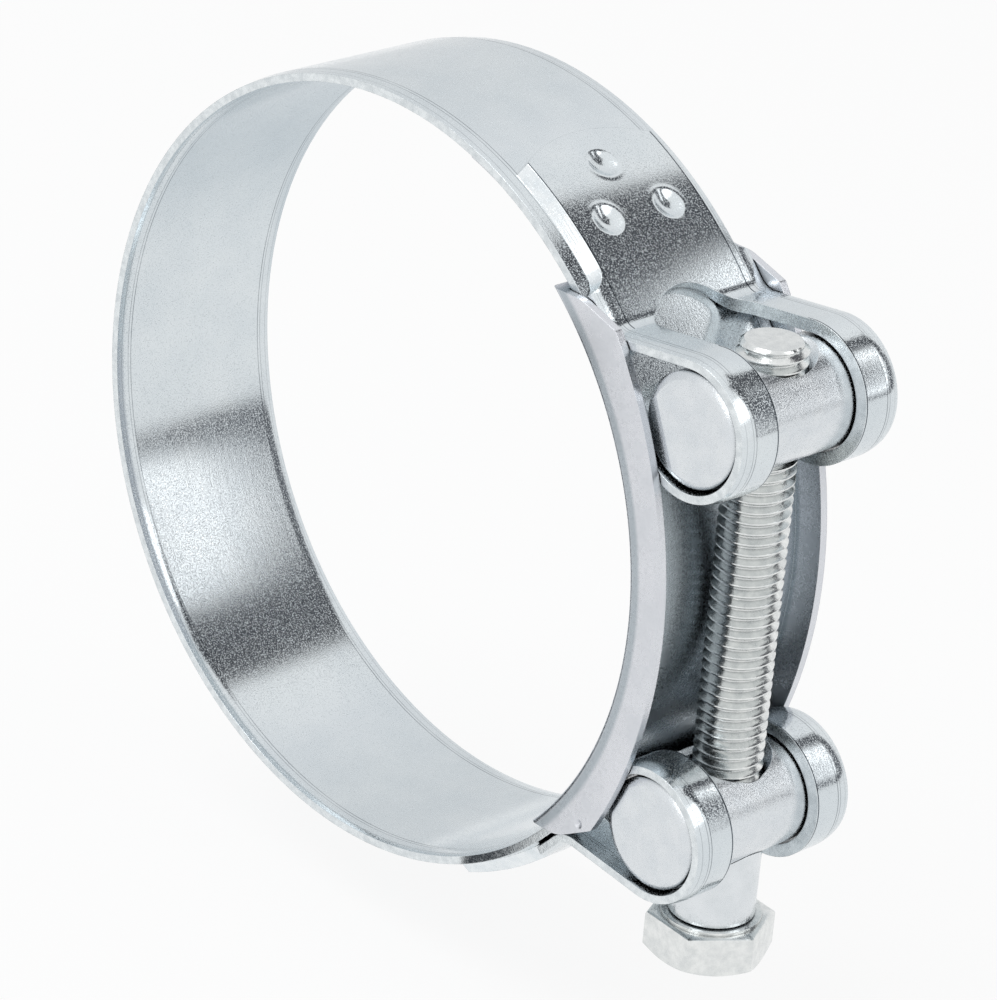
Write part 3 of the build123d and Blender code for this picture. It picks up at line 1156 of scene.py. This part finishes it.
@dataclass
class HexBolt:
    """The fully threaded bolt, with a hexagon head that has a washer face."""

    body: str = "bolt"
    axis_x: float = 49.6
    tip: float = 32.19
    head_top: float = -37.81
    head_bottom: float = -43.11
    thread_diameter: float = 8.0
    pitch: float = 1.25
    thread_depth: float = 0.72
    tip_chamfer: float = 0.8
    tip_taper: float = 0.75  # length over which the tip narrows
    root_in_head: float = 1.2  # how far the shank reaches into the head
    rows_per_turn: int = 8
    points_round: int = 64
    across_flats: float = 13.0
    head_turn: float = -5.0
    chamfer_diameter: float = 12.4
    chamfer_angle: float = 30.0
    washer_diameter: float = 11.6
    washer_height: float = 0.4
    head_edge: float = 0.42
    head_steps: int = 120
    end_face_inset: float = 0.6  # of the ring that frames the head's end face
    sharp_angle: float = 32.0

    def thread_tree(self, rows: int) -> bpy.types.GeometryNodeTree:
        """Build the node tree that makes a right-hand thread.

        Each row of the grid follows the helix, so that the crests and the roots are true lines.

        Args:
            rows: The number of rows along the bolt.

        Returns:
            The tree, with inputs in metres.
        """
        tree = bpy.data.node_groups.new("Rolled thread", "GeometryNodeTree")
        for name in ("Axis", "Bottom", "Top", "Radius", "Pitch", "Depth", "Chamfer", "Taper"):
            tree.interface.new_socket(name=name, in_out="INPUT", socket_type="NodeSocketFloat")
        tree.interface.new_socket(name="Finish", in_out="INPUT", socket_type="NodeSocketMaterial")
        tree.interface.new_socket(name="Thread", in_out="OUTPUT", socket_type="NodeSocketGeometry")
        given = add_node(tree, "NodeGroupInput").outputs
        around, last = self.points_round, rows - 1
        calculate = partial(maths, tree)
        grid = add_node(
            tree,
            "GeometryNodeMeshGrid",
            {},
            {"Size X": float(last), "Size Y": 2 * math.pi, "Vertices X": rows, "Vertices Y": around + 1},
        )
        place = add_node(tree, "GeometryNodeInputPosition")
        flat = add_node(tree, "ShaderNodeSeparateXYZ", {}, {0: place.outputs[0]})
        row = calculate("ADD", flat.outputs[0], last / 2)
        turn = calculate("ADD", flat.outputs[1], math.pi)
        turns_up = calculate("DIVIDE", row, float(self.rows_per_turn))
        lead = calculate("ADD", calculate("SUBTRACT", turns_up, 1.0), calculate("DIVIDE", turn, 2 * math.pi))
        height = calculate("MULTIPLY_ADD", lead, given["Pitch"], given["Bottom"])
        height = calculate("MINIMUM", calculate("MAXIMUM", height, given["Bottom"]), given["Top"])
        # Flanks at 30 degrees from square, on both sides of a crest an eighth of the pitch wide
        from_crest = calculate("PINGPONG", calculate("SUBTRACT", turns_up, 0.0625), 0.5)
        down_flank = calculate("MULTIPLY", calculate("SUBTRACT", from_crest, 0.0625), math.sqrt(3.0))
        drop = calculate("MAXIMUM", calculate("MULTIPLY", down_flank, given["Pitch"]), 0.0)
        drop = calculate("MINIMUM", drop, given["Depth"])
        radius = calculate("SUBTRACT", given["Radius"], drop)
        end_radius = calculate("SUBTRACT", given["Radius"], given["Chamfer"])
        slope = calculate("DIVIDE", given["Chamfer"], given["Taper"])
        below = calculate("SUBTRACT", given["Top"], height)
        above = calculate("SUBTRACT", height, given["Bottom"])
        from_top = calculate("MULTIPLY_ADD", below, slope, end_radius)
        from_bottom = calculate("MULTIPLY_ADD", above, slope, end_radius)
        radius = calculate("MINIMUM", calculate("MINIMUM", radius, from_top), from_bottom)
        past_first = calculate("GREATER_THAN", row, 0.5)
        before_last = calculate("LESS_THAN", row, last - 0.5)
        open_row = calculate("MULTIPLY", past_first, before_last)
        radius = calculate("MULTIPLY", radius, open_row)
        across = calculate("MULTIPLY_ADD", radius, calculate("COSINE", turn), given["Axis"])
        along = calculate("MULTIPLY", radius, calculate("SINE", turn))
        point = add_node(tree, "ShaderNodeCombineXYZ", {}, {0: across, 1: along, 2: height})
        moves = {"Geometry": grid.outputs[0], "Position": point.outputs[0]}
        rolled = add_node(tree, "GeometryNodeSetPosition", {}, moves)
        closed = add_node(
            tree, "GeometryNodeMergeByDistance", {}, {"Geometry": rolled.outputs[0], "Distance": 0.0005 * MM}
        )
        real = add_node(tree, "GeometryNodeRealizeInstances", {}, {"Geometry": closed.outputs[0]})
        plating = {"Geometry": real.outputs[0], "Material": given["Finish"]}
        plated = add_node(tree, "GeometryNodeSetMaterial", {}, plating)
        add_node(tree, "NodeGroupOutput", {}, {"Thread": plated.outputs[0]})
        return tree

    def thread(self, finish: bpy.types.Material) -> bpy.types.Mesh:
        """Roll the thread.

        Args:
            finish: The bolt's material.

        Returns:
            The threaded shank as a plain mesh.
        """
        bottom = self.head_top - self.root_in_head
        turns = math.ceil((self.tip - bottom) / self.pitch) + 2
        tree = self.thread_tree(turns * self.rows_per_turn + 1)
        sizes = {
            "Axis": self.axis_x * MM,
            "Bottom": bottom * MM,
            "Top": self.tip * MM,
            "Radius": self.thread_diameter / 2 * MM,
            "Pitch": self.pitch * MM,
            "Depth": self.thread_depth * MM,
            "Chamfer": self.tip_chamfer * MM,
            "Taper": self.tip_taper * MM,
            "Finish": finish,
        }
        blank = add_object("thread_blank", bpy.data.meshes.new("thread_blank"))
        modifier = blank.modifiers.new("Thread", "NODES")
        modifier.node_group = tree
        for socket in tree.interface.items_tree:
            if socket.in_out == "INPUT":
                modifier[socket.identifier] = sizes[socket.name]
        evaluated = blank.evaluated_get(bpy.context.evaluated_depsgraph_get())
        mesh = bpy.data.meshes.new_from_object(evaluated)
        blank.modifiers.clear()
        bpy.data.objects.remove(blank)
        return mesh

    def head(self) -> bpy.types.Mesh:
        """Forge the head: a chamfered hexagon with a washer face.

        Returns:
            The closed head as a mesh.
        """
        flat_radius = self.across_flats / 2
        top = self.head_top - self.washer_height
        slope = math.tan(math.radians(self.chamfer_angle))
        start = self.chamfer_diameter / 2
        washer = self.washer_diameter / 2

        def hexagon(turn: float) -> float:
            """Give the hexagon's radius at an angle in degrees."""
            return flat_radius / math.cos(math.radians((turn - self.head_turn) % 60.0 - 30.0))

        def at(radius: Callable[[float], float], height: Callable[[float], float]) -> list[Vector]:
            """Give one ring of points round the bolt's axis."""
            points = []
            for i in range(self.head_steps):
                turn = 360.0 * i / self.head_steps + self.head_turn
                angle = math.radians(turn)
                across, along = radius(turn) * math.cos(angle), radius(turn) * math.sin(angle)
                points.append(Vector((self.axis_x + across, along, height(turn))) * MM)
            return points

        rings = [
            at(lambda t: start - self.end_face_inset, lambda t: self.head_bottom),
            at(lambda t: start, lambda t: self.head_bottom),
            at(hexagon, lambda t: self.head_bottom + (hexagon(t) - start) * slope),
            at(hexagon, lambda t: top - self.head_edge),
            at(lambda t: hexagon(t) - 0.3 * self.head_edge, lambda t: top - 0.3 * self.head_edge),
            at(lambda t: hexagon(t) - self.head_edge, lambda t: top),
            at(lambda t: washer, lambda t: top),
            at(lambda t: washer, lambda t: self.head_top),
        ]
        return ring_mesh("hex_head", rings)

    def build(self) -> bpy.types.Object:
        """Roll the thread, forge the head, and join and dress them."""
        shape = bmesh.new()
        shape.from_mesh(self.thread(BOLT.material()))
        bmesh.ops.recalc_face_normals(shape, faces=shape.faces)
        shape.from_mesh(self.head())
        mesh = bpy.data.meshes.new("threaded_bolt")
        shape.to_mesh(mesh)
        shape.free()
        finish_mesh(mesh, self.sharp_angle)
        piece = add_object("threaded_bolt", mesh)
        return dress(piece, self.body, "bolt", (BOLT,))


@dataclass(frozen=True)
class Screen:
    """A flat screen near the clamp that only reflections show, with soft edges.

    Each edge is a direction and two places along it, in millimetres: where the screen is clear and
    where it is full.
    """

    name: str
    corners: tuple[tuple[float, float, float], ...]
    colour: str
    strength: float
    edges: tuple[tuple[tuple[float, float, float], float, float], ...]

    def material(self) -> bpy.types.Material:
        """Build the screen's glow, which fades to nothing past its edges."""
        material = empty_material(f"Glow of {self.name}")
        tree = material.node_tree
        place = add_node(tree, "ShaderNodeTexCoord").outputs["Object"]
        soft = {"interpolation_type": "SMOOTHSTEP"}
        cover: Any = 1.0
        for way, clear, full in self.edges:
            along = add_node(
                tree, "ShaderNodeVectorMath", {"operation": "DOT_PRODUCT"}, {0: place, 1: way}
            )
            share = remap(tree, along.outputs["Value"], (clear * MM, full * MM), settings=soft)
            cover = maths(tree, "MULTIPLY", share, cover)
        clear_glass = add_node(tree, "ShaderNodeBsdfTransparent")
        glow = {"Color": linear_colour(self.colour), "Strength": self.strength}
        light = add_node(tree, "ShaderNodeEmission", {}, glow)
        layers = {0: cover, 1: clear_glass.outputs[0], 2: light.outputs[0]}
        finish_material(tree, add_node(tree, "ShaderNodeMixShader", {}, layers))
        return material

    def build(self) -> bpy.types.Object:
        """Hang the screen."""
        mesh = bpy.data.meshes.new(self.name)
        mesh.from_pydata([Vector(c) * MM for c in self.corners], [], [(0, 1, 2, 3)])
        mesh.materials.append(self.material())
        return set_aside(add_object(self.name, mesh))


def set_aside(screen: bpy.types.Object) -> bpy.types.Object:
    """Let only reflections show a screen."""
    screen.visible_camera = False
    screen.visible_diffuse = False
    screen.visible_shadow = False
    return screen


# White panel on the far side: its mirror image is the bright patch on the inner wall
WHITE_PANEL = Screen(
    "white_panel",
    ((60.0, 167.0, -6.0), (280.0, 167.0, -6.0), (280.0, 167.0, 195.0), (60.0, 167.0, 195.0)),
    "#FFFFFF",
    1.88,
    (
        ((0.857, 0.0, 0.515), 165.0, 187.0),
        ((0.857, 0.0, 0.515), 221.0, 207.0),
        ((0.0, 0.0, 1.0), 4.0, 44.0),
        ((0.0, 0.0, 1.0), 192.0, 170.0),
    ),
)

# Pale mat on the far side: less bright than the white round it, so it tones the upper inner wall down
PALE_MAT = Screen(
    "pale_mat",
    ((-260.0, 25.0, -46.8), (0.0, 25.0, -46.8), (0.0, 210.0, -46.8), (-260.0, 210.0, -46.8)),
    "#E2E6E9",
    1.0,
    (
        ((1.0, 0.0, 0.0), -260.0, -180.0),
        ((1.0, 0.0, 0.0), 0.0, -45.0),
        ((0.0, 1.0, 0.0), 25.0, 45.0),
        ((0.0, 1.0, 0.0), 210.0, 150.0),
    ),
)

# Narrow dark card, standing close to the clamp's near side
DARK_FLAG = Screen(
    "dark_flag",
    ((20.0, -25.0, -46.8), (20.0, -13.2, -46.8), (20.0, -13.2, 26.0), (20.0, -25.0, 26.0)),
    "#35393E",
    1.0,
    (
        ((0.0, 1.0, 0.0), -25.0, -23.0),
        ((0.0, 0.0, 1.0), 26.0, 20.0),
    ),
)


@dataclass(frozen=True)
class Backdrop:
    """A piece of a sphere round the clamp that only reflections show, in tones along one axis.

    Azimuths run from +Y towards +X, and the tones' places are shares of the sphere's radius.
    """

    name: str
    azimuth: tuple[float, float]
    elevation: tuple[float, float]
    tones: tuple[tuple[float, str], ...]
    tone_axis: int
    foot_shift: float = 0.0  # how much further round the first side stands at the foot
    radius: float = 420.0
    steps: int = 24

    def place(self, share_up: float, share_round: float) -> Vector:
        """Give a point of the backdrop by its shares of the height and of the way round."""
        up = self.elevation[0] + (self.elevation[1] - self.elevation[0]) * share_up
        first = self.azimuth[0] + self.foot_shift * max(1 - up / 50.0, 0.0)
        turn = math.radians(first + (self.azimuth[1] - first) * share_round)
        level = math.cos(math.radians(up))
        return Vector((math.sin(turn) * level, math.cos(turn) * level, math.sin(math.radians(up))))

    def build(self) -> bpy.types.Object:
        """Stand the backdrop up."""
        line = spread(0.0, 1.0, self.steps)
        points = [self.place(up, turn) * self.radius * MM for up in line for turn in line]
        width = self.steps + 1
        faces = [
            (i * width + j, i * width + j + 1, (i + 1) * width + j + 1, (i + 1) * width + j)
            for i in range(self.steps)
            for j in range(self.steps)
        ]
        mesh = bpy.data.meshes.new(self.name)
        mesh.from_pydata(points, [], faces)
        material = empty_material(f"Tones of {self.name}")
        tree = material.node_tree
        place = add_node(tree, "ShaderNodeTexCoord").outputs["Object"]
        flat = add_node(tree, "ShaderNodeSeparateXYZ", {}, {0: place})
        share = remap(tree, flat.outputs[self.tone_axis], (-self.radius * MM, self.radius * MM))
        tone = add_node(tree, "ShaderNodeValToRGB", {}, {0: share})
        stops = tone.color_ramp.elements
        for i, (height, code) in enumerate(self.tones):
            stop = stops[i] if i < 2 else stops.new(1.0)
            stop.position = (height + 1) / 2
            stop.color = linear_colour(code)
        finish_material(tree, add_node(tree, "ShaderNodeEmission", {}, {"Color": tone.outputs[0]}))
        mesh.materials.append(material)
        return set_aside(add_object(self.name, mesh))


GREY_CARD = Backdrop(
    "grey_card",
    (7.0, 54.0),
    (-1.3, 62.0),
    ((0.03, "#6C6E73"), (0.28, "#75777C"), (0.60, "#606266"), (0.85, "#56575B")),
    tone_axis=2,
    foot_shift=23.0,
)

PALE_WALL = Backdrop(
    "pale_wall",
    (-150.0, -2.0),
    (-1.3, 80.0),
    ((-0.75, "#E9EAEB"), (-0.55, "#EDEEEF"), (-0.25, "#F8F8F9"), (-0.05, "#FFFFFF")),
    tone_axis=0,
)


@dataclass(frozen=True)
class Softbox:
    """A soft square lamp that faces the clamp."""

    name: str
    place: tuple[float, float, float]
    side: float
    power: float  # in watts

    def build(self) -> bpy.types.Object:
        """Hang the lamp."""
        light = bpy.data.lights.new(self.name, "AREA")
        light.size = self.side * MM
        light.energy = self.power
        lamp = add_object(self.name, light)
        place = Vector(self.place)
        facing = place.to_track_quat("Z", "Y").to_matrix().to_4x4()
        lamp.matrix_world = Matrix.Translation(place * MM) @ facing
        return lamp


SOFTBOXES = (
    Softbox("top_softbox", (-200.0, -250.0, 700.0), 500.0, 2.0),
    Softbox("side_softbox", (684.0, 276.0, 516.0), 420.0, 0.6),
    Softbox("front_softbox", (150.0, -710.0, 340.0), 300.0, 0.42),
)


@dataclass
class Studio:
    """The pale floor, the white surroundings with their screens, the lamps and the camera."""

    azimuth: float = 45.213
    elevation: float = 25.124
    roll: float = 4.71
    distance: float = 494.812
    shift_right: float = -6.725
    shift_up: float = 5.793
    focal_pixels: float = 4232.0
    floor_height: float = -56.2  # below the bolt's head at its full travel
    floor_reach: float = 6000.0
    floor_colour: str = "#F2F3F4"
    floor_glow: float = 0.88
    fill_light: float = 0.6

    def seen_straight(self, tree: bpy.types.NodeTree) -> bpy.types.NodeSocket:
        """Give 1 for what the camera, a reflection or a refraction sees, and otherwise 0.

        Args:
            tree: The material's or the world's tree.

        Returns:
            The output with that value.
        """
        path = add_node(tree, "ShaderNodeLightPath").outputs
        either = maths(tree, "MAXIMUM", path["Is Camera Ray"], path["Is Glossy Ray"])
        return maths(tree, "MAXIMUM", either, path["Is Transmission Ray"])

    def surroundings(self) -> None:
        """Make the world white where it is seen, and a plain fill light where it lights."""
        world = bpy.data.worlds.new("White tent")
        bpy.context.scene.world = world
        world.use_nodes = True
        tree = world.node_tree
        tree.nodes.clear()
        strength = remap(tree, self.seen_straight(tree), target=(self.fill_light, 1.0))
        light = add_node(tree, "ShaderNodeBackground", {}, {"Color": (1, 1, 1, 1), "Strength": strength})
        add_node(tree, "ShaderNodeOutputWorld", {}, {"Surface": light.outputs[0]})

    def floor(self) -> bpy.types.Object:
        """Lay the pale floor, which keeps a faint shadow."""
        reach, height = self.floor_reach * MM, self.floor_height * MM
        corners = [(-reach, -reach), (reach, -reach), (reach, reach), (-reach, reach)]
        mesh = bpy.data.meshes.new("floor")
        mesh.from_pydata([(x, y, height) for x, y in corners], [], [(0, 1, 2, 3)])
        material = empty_material("Pale studio floor")
        tree = material.node_tree
        matt = add_node(tree, "ShaderNodeBsdfDiffuse", {}, {"Color": linear_colour(self.floor_colour)})
        glow = add_node(tree, "ShaderNodeEmission", {}, {"Color": (1, 1, 1, 1), "Strength": 1.0})
        share = maths(tree, "MULTIPLY", self.seen_straight(tree), self.floor_glow)
        layers = {0: share, 1: matt.outputs[0], 2: glow.outputs[0]}
        finish_material(tree, add_node(tree, "ShaderNodeMixShader", {}, layers))
        mesh.materials.append(material)
        floor = add_object("studio_floor", mesh)
        return floor

    def camera(self) -> bpy.types.Object:
        """Set up the camera at the photograph's place."""
        turn, up, roll = (math.radians(a) for a in (self.azimuth, self.elevation, self.roll))
        back = Vector((math.sin(turn) * math.cos(up), -math.cos(turn) * math.cos(up), math.sin(up)))
        level = Vector((math.cos(turn), math.sin(turn), 0.0))
        upward = back.cross(level)
        right = level * math.cos(roll) + upward * math.sin(roll)
        above = upward * math.cos(roll) - level * math.sin(roll)
        place = (back * self.distance - right * self.shift_right - above * self.shift_up) * MM
        lens = bpy.data.cameras.new("photo_camera")
        lens.sensor_fit = "HORIZONTAL"
        lens.sensor_width = 36.0
        lens.lens = lens.sensor_width * self.focal_pixels / PHOTO_WIDTH
        lens.clip_start = 0.01
        camera = add_object("photo_camera", lens)
        axes = Matrix((right, above, back)).transposed().to_4x4()
        camera.matrix_world = Matrix.Translation(place) @ axes
        bpy.context.scene.camera = camera
        return camera

    def build(self) -> None:
        """Set up the whole studio."""
        bpy.context.scene.view_settings.view_transform = "Standard"
        self.surroundings()
        self.floor()
        for screen in (GREY_CARD, PALE_WALL, WHITE_PANEL, PALE_MAT, DARK_FLAG):
            screen.build()
        for softbox in SOFTBOXES:
            softbox.build()
        self.camera()


def main() -> None:
    """Build the clamp's pieces in order, and then the studio."""
    logging.basicConfig(level=logging.INFO, format="%(message)s")
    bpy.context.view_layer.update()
    Band().build()
    Bridge().build()
    CrossPin("upper_trunnion", 24.406, 8.1, (204.0, 3.8, 12.0)).build()
    CrossPin("lower_trunnion", -24.406, 8.6, (153.0, 5.0, 16.0)).build()
    SpacerSleeve().build()
    HexBolt().build()
    Studio().build()


if __name__ == "__main__":
    main()
